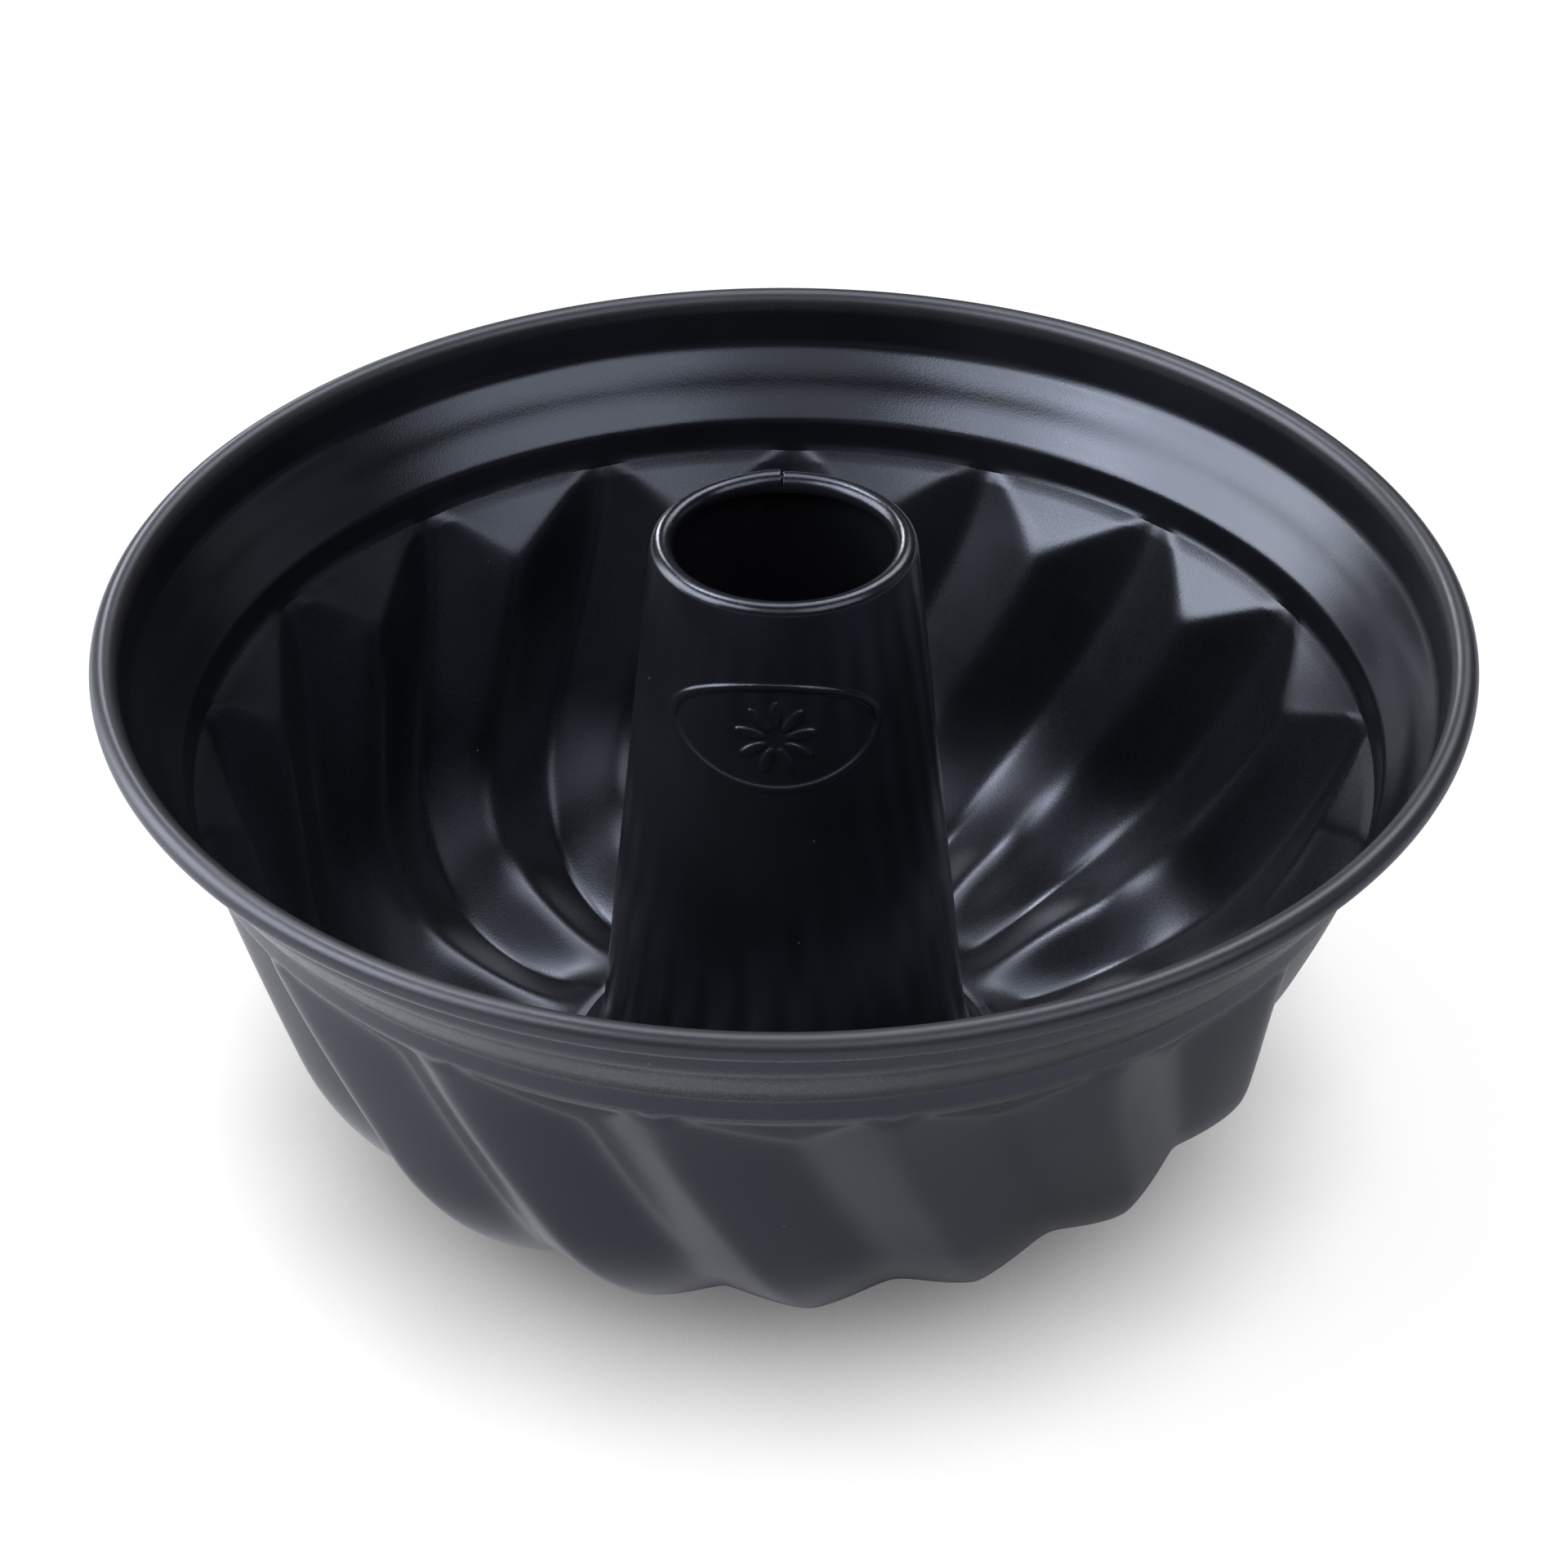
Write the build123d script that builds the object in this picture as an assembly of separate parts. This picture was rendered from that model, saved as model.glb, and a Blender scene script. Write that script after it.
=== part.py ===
"""Fluted ring cake pan: a deep drawn sheet shell with seventeen twisted flutes,
and the tapered sheet tube that stands in its middle.

Millimetres, +Z up. The origin is on the pan's axis, at the level it rests on.
"""
from build123d import *
import os
from math import acos, asin, atan2, cos, degrees, hypot, pi, radians, sin, sqrt, tan

# ---- the sheet and the rim ------------------------------------------------
SHEET = 0.6                 # thickness of the shell's sheet
RIM_OUTER_RADIUS = 110.0    # outside of the rolled rim
RIM_ROLL_RADIUS = 2.15      # outside radius of the roll itself
RIM_ROLL_TURN = 312.0       # degrees the sheet turns through in the roll
RIM_HEIGHT = 89.8           # centre of the roll above the resting level

# ---- the bands between the rim and the flutes (middle of the sheet) -------
UPPER_WALL_FOOT = (104.7, 82.5)     # foot of the near upright wall under the rim
FOLD_TOP = (101.5, 78.4)            # faint fold in the sloping ledge: a steeper strip
FOLD_BOTTOM = (100.55, 76.75)
LEDGE_FOOT = (96.7, 71.3)           # foot of the sloping ledge
FLUTE_TOP_RADIUS = 96.3             # crisp circle the flutes start from
FLUTE_TOP_HEIGHT = 66.9
UPPER_WALL_BEND = 5.0               # bend radii of the bands
FOLD_BEND = 4.0
LEDGE_FOOT_BEND = 2.6
BAND_JOG = 0.33                     # the band stands this far outside the flutes' top

# ---- the flutes -----------------------------------------------------------
FLUTES = 17
FIRST_FLUTE_ANGLE = 89.0            # azimuth of one outward lobe at the top circle
LOBE_SLOPE = 17.0                   # degrees off upright, down the outward lobes
LOBE_BEND = 40.0                    # radius the lobes turn under with
LOBE_BOTTOM = 0.3                   # lowest point of the lobes, middle of the sheet
RIDGE_START = (87.5, 56.8)          # where each facet's point becomes a ridge
RIDGE_SLOPE = 14.2                  # degrees off upright, down the inward ridges
RIDGE_BEND = 27.6
RIDGE_BEND_CENTRE_HEIGHT = 34.2
RIDGE_RUNOUT = 18.3                 # degrees off level where the ridges leave the bend
TWIST = (4.4, 62.9, -50.3)          # degrees per power of the distance down a flute
FOLD_SHARPNESS_TOP = 0.955          # 1 would be a sharp zigzag
CHANNEL_SHARPNESS_FOOT = 0.97       # the channels stay crisp down to the foot
RIDGE_SHARPNESS_FOOT = 0.72         # and the ridges between them grow rounder
FACET_EDGE_SOFTNESS = 0.45          # depth over which the facet edges are rounded
LEVEL_START = 0.03                  # share of a flute over which its top edge turns level

# ---- the ring round the tube ----------------------------------------------
RING_RADIUS = 36.7                  # where the flutes have faded out
RING_HEIGHT = 1.8
COLLAR_BEND = 5.0                   # the sheet turns up round the tube
COLLAR_TOP = 8.0

# ---- the tube -------------------------------------------------------------
TUBE_SHEET = 0.5
TUBE_TOP_RADIUS = 21.2      # outside of the tube where the lip starts to roll in
TUBE_TOP_HEIGHT = 105.0
LIP_ROLL_RADIUS = 1.8       # outside radius of the rolled lip
LIP_ROLL_TURN = 285.0
SEAT_GAP = 0.10             # between the tube's foot and the shell
FLANGE_RADIUS = 37.2        # outside of the flange under the shell
SEAM_ANGLE = 99.0           # azimuth of the lapped seam's edge
SEAM_LAP = 12.0             # degrees the inner lap covers
SEAM_LAP_RISE = 0.45        # how far the lap stands in from the wall
SEAM_SPAN = (11.0, 101.5)   # heights the lap runs between
NOTCH_ANGLE = 91.0          # where the two ends of the rolled lip meet
NOTCH_WIDTH = 0.5

# ---- the plain oval pressed into the tube ---------------------------------
OVAL_RADII = (16.5, 9.5)
OVAL_LINE = 1.0             # width of the raised line
OVAL_RISE = 0.3
OVAL_CENTRE = (-1.3, 84.0)  # sideways offset and height
PETALS = 9                  # petals of the small rosette inside the oval
PETAL_RING = 4.1
PETAL_RADII = (2.3, 0.8)

# ---- sampling of the fluted skins -----------------------------------------
COLUMNS = 33                        # points across one flute
ROWS_FACET = 22
ROWS_WALL = 30
ROWS_COLLAR = 12

HALF = SHEET / 2
TUBE_HALF = TUBE_SHEET / 2


# ---------------------------------------------------------------------------
# The shell
# ---------------------------------------------------------------------------
def flute_outline(top, slope, bend, bend_height, runout):
    """Middle of the sheet down one line of a flute, from a top point to the ring."""
    lean = radians(slope)
    start_height = bend_height - bend * sin(lean)
    start_radius = top[0] - (top[1] - start_height) * tan(lean)
    centre_radius = start_radius - bend * cos(lean)
    turn_end = radians(90 - runout)
    turn_middle = (lean + turn_end) / 2
    start = (start_radius, start_height)
    middle = (centre_radius + bend * cos(turn_middle), bend_height - bend * sin(turn_middle))
    end = (centre_radius + bend * cos(turn_end), bend_height - bend * sin(turn_end))
    ring = (RING_RADIUS, RING_HEIGHT)
    reach = hypot(end[0] - ring[0], end[1] - ring[1]) / 3
    leave = (end[0] - reach * sin(turn_end), end[1] - reach * cos(turn_end))
    arrive = (ring[0] + reach, ring[1])
    return [
        Edge.make_line((*top, 0), (*start, 0)),
        Edge.make_three_point_arc((*start, 0), (*middle, 0), (*end, 0)),
        Edge.make_bezier((*end, 0), (*leave, 0), (*arrive, 0), (*ring, 0)),
    ]


TOP_POINT = (FLUTE_TOP_RADIUS, FLUTE_TOP_HEIGHT)
LOBE_LINE = Wire(
    flute_outline(TOP_POINT, LOBE_SLOPE, LOBE_BEND, LOBE_BOTTOM + LOBE_BEND, 0)
)
FACET_LENGTH = hypot(TOP_POINT[0] - RIDGE_START[0], TOP_POINT[1] - RIDGE_START[1])
RIDGE_LINE = Wire(
    [Edge.make_line((*TOP_POINT, 0), (*RIDGE_START, 0))]
    + flute_outline(
        RIDGE_START, RIDGE_SLOPE, RIDGE_BEND, RIDGE_BEND_CENTRE_HEIGHT, RIDGE_RUNOUT
    )
)
FACET_SHARE = FACET_LENGTH / RIDGE_LINE.length


def fold_sharpness(share, turn):
    """How crisp the folds are: the same all round at the top, but not at the foot."""
    on_ridge = sin(pi * turn) ** 2
    at_foot = CHANNEL_SHARPNESS_FOOT + (RIDGE_SHARPNESS_FOOT - CHANNEL_SHARPNESS_FOOT) * on_ridge
    return FOLD_SHARPNESS_TOP + (at_foot - FOLD_SHARPNESS_TOP) * share


def crest_wave(turn, sharpness):
    """A zigzag with rounded corners: 0 on a lobe (turn 0), 1 on a ridge (turn 0.5)."""
    corner = acos(sharpness)
    return (acos(sharpness * cos(2 * pi * turn)) - corner) / (pi - 2 * corner)


def soft_lesser(a, b, softness):
    """The smaller of two depths, with the corner between them rounded."""
    return (a + b - sqrt((a - b) ** 2 + 4 * softness**2)) / 2


def twist_at(share):
    """Degrees a flute has turned through at a share of the way down."""
    return sum(amount * share ** (power + 1) for power, amount in enumerate(TWIST))


def flute_depth(share, turn):
    """How far along the line from lobe to ridge the sheet is pressed in, 0 to 1."""
    facet = share / FACET_SHARE
    if facet < 1:
        depth = (Vector(*RIDGE_START) - LOBE_LINE.position_at(FACET_SHARE)).length
    else:
        depth = (RIDGE_LINE.position_at(share) - LOBE_LINE.position_at(share)).length
    if depth < 1e-6:
        return 0.0
    wave = depth * crest_wave(turn, fold_sharpness(share, turn))
    softness = FACET_EDGE_SOFTNESS * min(1.0, facet, depth / 3)
    return soft_lesser(wave, depth * facet, softness) / depth


def flute_place(share, turn):
    """Radius and height of the sheet's middle, and the way its outside faces.

    share 0 is the top circle and 1 the ring; turn 0..1 is one flute, lobe to lobe.
    """
    lobe = LOBE_LINE.position_at(share)
    down = LOBE_LINE.tangent_at(share)
    if share < FACET_SHARE:
        inward = Vector(*RIDGE_START) - LOBE_LINE.position_at(FACET_SHARE)
    else:
        inward = RIDGE_LINE.position_at(share) - lobe
    place = lobe + inward * flute_depth(share, turn)
    facing = Vector(-down.Y, down.X)
    level_share = max(0.0, 1 - share / LEVEL_START)
    return place, facing * (1 - level_share) + Vector(1, 0) * level_share


def collar_place(share):
    """The same for the sheet round the tube: share 0 is the ring, 1 the top edge."""
    quarter = COLLAR_BEND * pi / 2
    rise = COLLAR_TOP - RING_HEIGHT - COLLAR_BEND
    along = share * (quarter + rise)
    bend = min(along, quarter) / COLLAR_BEND
    radius = RING_RADIUS - COLLAR_BEND * sin(bend)
    height = RING_HEIGHT + COLLAR_BEND * (1 - cos(bend)) + max(0.0, along - quarter)
    return Vector(radius, height), Vector(-sin(bend), -cos(bend))


def skin_point(distance, turn, side):
    """A point on the inside (side -1) or outside (+1) face of the fluted sheet.

    distance runs 0..1 down the flutes and 1..2 up the collar.
    """
    if distance <= 1:
        place, facing = flute_place(distance, turn)
    else:
        place, facing = collar_place(distance - 1)
    place = place + facing * (side * HALF)
    turned = twist_at(min(distance, 1.0)) + turn * 360 / FLUTES
    azimuth = radians(FIRST_FLUTE_ANGLE + turned)
    return Vector(place.X * cos(azimuth), place.X * sin(azimuth), place.Y)


def skin_distances():
    """Where the skins are sampled: closely over the facets, then the walls and collar."""
    facet_end = FACET_SHARE * 1.25
    facets = [facet_end * i / ROWS_FACET for i in range(ROWS_FACET)]
    walls = [facet_end + (1 - facet_end) * i / ROWS_WALL for i in range(ROWS_WALL)]
    collar = [1 + i / ROWS_COLLAR for i in range(ROWS_COLLAR + 1)]
    return facets + walls + collar


def fluted_skin(side):
    """One flute's worth of one face of the sheet, repeated round the pan."""
    turns = [i / (COLUMNS - 1) for i in range(COLUMNS)]
    grid = [[skin_point(distance, turn, side) for turn in turns] for distance in skin_distances()]
    patch = Face.make_surface_from_array_of_points(grid, tol=0.005, min_deg=3, max_deg=3)
    return [patch.rotate(Axis.Z, i * 360 / FLUTES) for i in range(FLUTES)]


def edges_at(faces, height):
    """The edges of some faces that lie level at one height."""
    found = []
    for face in faces:
        for edge in face.edges():
            box = edge.bounding_box()
            if abs(box.min.Z - height) < 1e-4 and abs(box.max.Z - height) < 1e-4:
                found.append(edge)
    return found


def level_ring(first_loop, second_loop):
    """The flat face between two closed loops of edges at one height."""
    loops = [Wire(first_loop), Wire(second_loop)]
    loops.sort(key=lambda loop: loop.bounding_box().size.X, reverse=True)
    return Face(loops[0], [loops[1]])


def make_rim_band():
    """The plain bands above the flutes and the rolled rim, spun round the axis."""
    roll = RIM_ROLL_RADIUS - HALF
    roll_centre = (RIM_OUTER_RADIUS - RIM_ROLL_RADIUS, RIM_HEIGHT)
    wall_top = (roll_centre[0] - roll, RIM_HEIGHT)
    base = (FLUTE_TOP_RADIUS + BAND_JOG, FLUTE_TOP_HEIGHT - 1)
    corners = (base, LEDGE_FOOT, FOLD_BOTTOM, FOLD_TOP, UPPER_WALL_FOOT, wall_top)
    bands = Wire(Polyline(*corners).edges())
    for corner, bend in (
        (LEDGE_FOOT, LEDGE_FOOT_BEND),
        (FOLD_BOTTOM, FOLD_BEND),
        (FOLD_TOP, FOLD_BEND),
        (UPPER_WALL_FOOT, UPPER_WALL_BEND),
    ):
        vertex = bands.vertices().sort_by_distance((*corner, 0))[0]
        bands = bands.fillet_2d(bend, [vertex])
    rolled = CenterArc(roll_centre, roll, 180, -RIM_ROLL_TURN)
    sheet = Wire(list(bands.edges()) + list(rolled.edges())).offset_2d(HALF)
    section = Plane.XZ * Face(sheet)
    floor = Pos(0, 0, FLUTE_TOP_HEIGHT - 5) * Cylinder(120, 10)
    return revolve(section, Axis.Z) - floor


def make_shell():
    """The whole shell: the two fluted skins and the rim band, joined on a level circle.

    The sheet jogs outwards by BAND_JOG there, the crisp line over the flutes, so two
    narrow level steps close the joint.
    """
    inside = fluted_skin(-1)
    outside = fluted_skin(+1)
    band = make_rim_band()
    seat = band.faces().sort_by(Axis.Z)[0]
    band_skin = [face for face in band.faces() if not face.is_same(seat)]
    steps = [
        level_ring(seat.outer_wire().edges(), edges_at(outside, FLUTE_TOP_HEIGHT)),
        level_ring(seat.inner_wires()[0].edges(), edges_at(inside, FLUTE_TOP_HEIGHT)),
    ]
    collar_edge = level_ring(edges_at(inside, COLLAR_TOP), edges_at(outside, COLLAR_TOP))
    return Solid(Shell(inside + outside + band_skin + steps + [collar_edge]))


# ---------------------------------------------------------------------------
# The tube
# ---------------------------------------------------------------------------
FLARE = COLLAR_BEND + HALF + SEAT_GAP + TUBE_HALF       # middle radius of the foot's bend
FLARE_CENTRE = (RING_RADIUS, RING_HEIGHT + COLLAR_BEND)
WALL_TOP = (TUBE_TOP_RADIUS - TUBE_HALF, TUBE_TOP_HEIGHT)
TO_FLARE = (FLARE_CENTRE[0] - WALL_TOP[0], WALL_TOP[1] - FLARE_CENTRE[1])
TUBE_LEAN = atan2(*TO_FLARE) - asin(FLARE / hypot(*TO_FLARE))


def tube_radius(height):
    """Outside radius of the tube's plain wall at a height."""
    return WALL_TOP[0] + (WALL_TOP[1] - height) * tan(TUBE_LEAN) + TUBE_HALF / cos(TUBE_LEAN)


def make_tube_wall():
    """The tube's wall with its rolled lip and flanged foot, spun round the axis."""
    lean = degrees(TUBE_LEAN)
    roll = LIP_ROLL_RADIUS - TUBE_HALF
    roll_centre = (WALL_TOP[0] - roll * cos(TUBE_LEAN), WALL_TOP[1] - roll * sin(TUBE_LEAN))
    wall_foot = (
        FLARE_CENTRE[0] - FLARE * cos(TUBE_LEAN),
        FLARE_CENTRE[1] - FLARE * sin(TUBE_LEAN),
    )
    flange_start = (FLARE_CENTRE[0], FLARE_CENTRE[1] - FLARE)
    flange_end = (FLANGE_RADIUS - TUBE_HALF, flange_start[1])
    middle = Wire(
        list(CenterArc(roll_centre, roll, lean, LIP_ROLL_TURN).edges())
        + list(Line(WALL_TOP, wall_foot).edges())
        + list(CenterArc(FLARE_CENTRE, FLARE, 180 + lean, 90 - lean).edges())
        + list(Line(flange_start, flange_end).edges())
    )
    return revolve(Plane.XZ * Face(middle.offset_2d(TUBE_HALF)), Axis.Z)


def wall_zone(inner, outer, low, high, sweep=360):
    """A ring following the wall, between two distances from its outside face."""
    corners = [
        (tube_radius(low) + inner, low),
        (tube_radius(low) + outer, low),
        (tube_radius(high) + outer, high),
        (tube_radius(high) + inner, high),
    ]
    section = Plane.XZ * make_face(Polyline(*corners, close=True))
    return revolve(section, Axis.Z, revolution_arc=sweep)


def make_seam_lap():
    """The inner end of the sheet, lapped over the wall at the back."""
    lap = wall_zone(-TUBE_SHEET - SEAM_LAP_RISE, -TUBE_HALF, *SEAM_SPAN, sweep=SEAM_LAP)
    start = degrees(atan2(lap.center().Y, lap.center().X)) - SEAM_LAP / 2
    return Rot(0, 0, SEAM_ANGLE - start) * lap


def make_lip_notch():
    """The narrow gap where the two ends of the rolled lip meet."""
    depth = 2 * LIP_ROLL_RADIUS
    notch = Pos(TUBE_TOP_RADIUS, 0, TUBE_TOP_HEIGHT + depth / 2) * Box(depth, NOTCH_WIDTH, depth)
    return Rot(0, 0, NOTCH_ANGLE) * notch


def make_oval_mark():
    """A raised oval line with a plain rosette in it, following the wall's face."""
    face_plane = Plane(
        origin=(OVAL_CENTRE[0], -2 * TUBE_TOP_RADIUS, OVAL_CENTRE[1]),
        x_dir=(1, 0, 0),
        z_dir=(0, -1, 0),
    )
    outer = Ellipse(*OVAL_RADII)
    inner = Ellipse(OVAL_RADII[0] - OVAL_LINE, OVAL_RADII[1] - OVAL_LINE)
    drawing = outer - inner
    for i in range(PETALS):
        place = Rot(0, 0, 90 + i * 360 / PETALS) * Pos(PETAL_RING, 0, 0)
        drawing += place * Ellipse(*PETAL_RADII)
    prism = extrude(face_plane * drawing, -TUBE_TOP_RADIUS * 1.3)
    reach = OVAL_RADII[1] + 3
    zone = wall_zone(-TUBE_HALF, OVAL_RISE, OVAL_CENTRE[1] - reach, OVAL_CENTRE[1] + reach)
    return prism & zone


def make_tube():
    tube = make_tube_wall() + make_seam_lap() - make_lip_notch()
    return tube + make_oval_mark()


os.makedirs("parts", exist_ok=True)
export_step(make_shell(), "parts/fluted_shell.step")
export_step(make_tube(), "parts/centre_tube.step")
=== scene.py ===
"""The looks of the fluted ring cake pan: two coated sheet pieces on a pale floor.

Both pieces are built as closed sheets of quads from a few sizes, in millimetres, and
turned into metres at the end. Rows run along the sheet and columns run round the axis.
"""

from math import acos, asin, atan2, cos, degrees, hypot, pi, radians, sin, tan

import bpy
import numpy as np
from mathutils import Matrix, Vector


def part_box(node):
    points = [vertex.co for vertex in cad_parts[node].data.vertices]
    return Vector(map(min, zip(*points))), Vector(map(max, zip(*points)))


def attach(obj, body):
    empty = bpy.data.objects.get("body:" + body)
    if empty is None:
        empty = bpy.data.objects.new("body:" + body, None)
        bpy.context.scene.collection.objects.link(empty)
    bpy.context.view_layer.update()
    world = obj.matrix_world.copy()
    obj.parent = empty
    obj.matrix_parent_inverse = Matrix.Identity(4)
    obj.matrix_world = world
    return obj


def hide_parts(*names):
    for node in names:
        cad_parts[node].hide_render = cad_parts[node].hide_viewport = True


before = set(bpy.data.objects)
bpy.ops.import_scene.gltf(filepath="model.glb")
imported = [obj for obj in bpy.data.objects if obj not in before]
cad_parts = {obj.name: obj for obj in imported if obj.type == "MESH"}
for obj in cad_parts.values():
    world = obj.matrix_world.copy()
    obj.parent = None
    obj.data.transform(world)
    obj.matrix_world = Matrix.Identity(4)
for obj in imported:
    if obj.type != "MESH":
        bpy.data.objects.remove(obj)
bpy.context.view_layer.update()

MM = 0.001
SHELL_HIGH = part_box("fluted_shell")[1] / MM
TUBE_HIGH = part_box("centre_tube")[1] / MM

# ---- the shell: lengths in mm, angles in degrees, points as (radius, height) --
SHEET = 0.6
HALF = SHEET / 2
RIM_OUTER_RADIUS = SHELL_HIGH.x
RIM_ROLL_RADIUS = 2.15
RIM_ROLL_TURN = 312.0
RIM_HEIGHT = SHELL_HIGH.z - RIM_ROLL_RADIUS
UPPER_WALL_FOOT = (104.7, 82.5)
FOLD_TOP = (102.0, 79.1)
FOLD_BOTTOM = (99.92, 75.5)
LEDGE_FOOT = (96.7, 71.3)
FLUTE_TOP = (96.3, 66.9)
UPPER_WALL_BEND = 5.0
FOLD_BEND = 26.0
LEDGE_FOOT_BEND = 2.6

FLUTES = 17
FIRST_FLUTE_ANGLE = 89.0
LOBE_SLOPE = 17.0
LOBE_BEND = 40.0
LOBE_BOTTOM = 0.3
RIDGE_START = (87.5, 56.8)
RIDGE_SLOPE = 14.2
RIDGE_BEND = 27.6
RIDGE_BEND_CENTRE_HEIGHT = 34.2
RIDGE_RUNOUT = 18.3
TWIST = (4.4, 62.9, -50.3)
FOLD_SHARPNESS_TOP = 0.955
CHANNEL_SHARPNESS_FOOT = 0.97
RIDGE_SHARPNESS_FOOT = 0.72
FACET_EDGE_SOFTNESS = 0.45
FACET_SOFT_DEPTH = 3.0
LEVEL_START = 0.03
LEVEL_LENGTH = 1.0
RING_RADIUS = 36.7
RING_HEIGHT = 1.8
COLLAR_BEND = 5.0
COLLAR_TOP = 8.0

# ---- the tube -------------------------------------------------------------
TUBE_SHEET = 0.5
TUBE_HALF = TUBE_SHEET / 2
LIP_ROLL_RADIUS = 1.8
LIP_ROLL_TURN = 285.0
TUBE_TOP_RADIUS = 21.2
TUBE_TOP_HEIGHT = 105.0
SEAT_GAP = 0.10
FLANGE_RADIUS = TUBE_HIGH.x
SEAM_ANGLE = 99.0
SEAM_LAP = 12.0
SEAM_LAP_FADE = 3.0
SEAM_LAP_RISE = 0.45
SEAM_SPAN = (11.0, 101.5)
SEAM_END_FADE = 2.0
NOTCH_ANGLE = 91.0
NOTCH_WIDTH = 0.35
NOTCH_DEPTH = 0.6
LIP_STEP = 0.4
LIP_STEP_SPAN = 35.0
LIP_BLEND = (0.8, 0.4)
WALL_START = 0.5
WALL_END = 0.1
OVAL_RADII = (16.5, 9.5)
OVAL_LINE = 1.0
OVAL_RISE = 0.3
OVAL_CENTRE = (-1.3, 84.0)
OVAL_ROWS_REACH = 11.0
PETALS = 9
PETAL_RING = 4.1
PETAL_RADII = (2.3, 0.8)

# ---- mesh density ---------------------------------------------------------
COLUMNS_PER_FLUTE = 28
FACET_ROWS = 44
FACET_ROWS_REACH = 1.25
WALL_ROWS = 56
BAND_ROWS = 96
ROLL_POINTS = 200
COLLAR_ROWS = 12
SOFTEN_REACH = 9
SOFTEN_PASSES = 6
SHARP_ANGLE = 50.0
FLANGE_POINTS = 6
FLARE_POINTS = 60
TUBE_OUTER_ROWS = (24, 24, 130, 10, 44)
TUBE_INNER_ROWS = (20, 60, 36)
FRONT_SPAN = 48.0
FRONT_COLUMNS = 260
REST_COLUMNS = 176
NOTCH_COLUMNS = 13

# ---- coating: where it pools in the channels, and the painted highlight on the rim's top ---
POOL_START = 0.62
POOL_BLEND = 0.15
POOL_TIGHTNESS = 10
POOL_GLOSS = 0.08
# Painted highlight on top of the rim roll: its strength, the roughness it adds, and the heights
# where it starts and where it is full.
RIM_HIGHLIGHT_STRENGTH = 0.3
RIM_HIGHLIGHT_ROUGHNESS = 0.14
HIGHLIGHT_BELOW_RIM = 1.5
HIGHLIGHT_FULLY_ABOVE = 0.5


# ---------------------------------------------------------------------------
# Outlines in the plane of radius and height
# ---------------------------------------------------------------------------
class Outline:
    """A line in the radius and height plane, measured along its length."""

    def __init__(self, points):
        self.points = np.asarray(points, float)
        steps = np.linalg.norm(np.diff(self.points, axis=0), axis=1)
        self.along = np.concatenate([[0.0], np.cumsum(steps)])
        self.length = self.along[-1]

    def at(self, share):
        """The points at shares 0..1 of the length."""
        here = np.clip(share, 0, 1) * self.length
        radius = np.interp(here, self.along, self.points[:, 0])
        height = np.interp(here, self.along, self.points[:, 1])
        return np.stack([radius, height], -1)

    def facing(self, share):
        """Unit normals to the left of travel, smoothed over a short length."""
        reach = 0.4 / self.length
        ahead = self.at(np.minimum(share + reach, 1)) - self.at(np.maximum(share - reach, 0))
        ahead = ahead / np.linalg.norm(ahead, axis=-1, keepdims=True)
        return np.stack([-ahead[..., 1], ahead[..., 0]], -1)


def line_points(start, end, count=60):
    share = np.linspace(0, 1, count)[:, None]
    return np.asarray(start) * (1 - share) + np.asarray(end) * share


def arc_points(centre, radius, start_degrees, sweep_degrees, count=90):
    angle = np.radians(start_degrees + sweep_degrees * np.linspace(0, 1, count))
    return np.stack([centre[0] + radius * np.cos(angle), centre[1] + radius * np.sin(angle)], -1)


def bezier_points(a, b, c, d, count=90):
    t = np.linspace(0, 1, count)[:, None]
    a, b, c, d = (np.asarray(p, float) for p in (a, b, c, d))
    return (1 - t) ** 3 * a + 3 * (1 - t) ** 2 * t * b + 3 * (1 - t) * t * t * c + t**3 * d


def rounded_corner(before, corner, after, bend, count=24):
    """The arc that rounds a corner between two straight stretches."""
    before, corner, after = (np.asarray(p, float) for p in (before, corner, after))
    into = (before - corner) / np.linalg.norm(before - corner)
    out = (after - corner) / np.linalg.norm(after - corner)
    half_angle = acos(float(np.clip(into @ out, -1, 1))) / 2
    trim = bend / tan(half_angle)
    middle = (into + out) / np.linalg.norm(into + out)
    centre = corner + middle * (bend / sin(half_angle))
    first, last = corner + into * trim, corner + out * trim
    start = atan2(first[1] - centre[1], first[0] - centre[0])
    sweep = atan2(last[1] - centre[1], last[0] - centre[0]) - start
    sweep = (sweep + pi) % (2 * pi) - pi
    return arc_points(centre, bend, degrees(start), degrees(sweep), count)


def flute_outline(top, slope, bend, bend_height, runout):
    """Middle of the sheet down one line of a flute, from a top point to the ring."""
    lean = radians(slope)
    start_height = bend_height - bend * sin(lean)
    start_radius = top[0] - (top[1] - start_height) * tan(lean)
    centre = (start_radius - bend * cos(lean), bend_height)
    turn_end = radians(90 - runout)
    end = (centre[0] + bend * cos(turn_end), bend_height - bend * sin(turn_end))
    ring = (RING_RADIUS, RING_HEIGHT)
    reach = hypot(end[0] - ring[0], end[1] - ring[1]) / 3
    leave = (end[0] - reach * sin(turn_end), end[1] - reach * cos(turn_end))
    arrive = (ring[0] + reach, ring[1])
    return np.vstack([
        line_points(top, (start_radius, start_height)),
        arc_points(centre, bend, -slope, -(90 - runout - slope))[1:],
        bezier_points(end, leave, arrive, ring)[1:],
    ])


def smooth_step(low, high, value):
    t = np.clip((value - low) / (high - low), 0, 1)
    return t * t * (3 - 2 * t)


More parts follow.
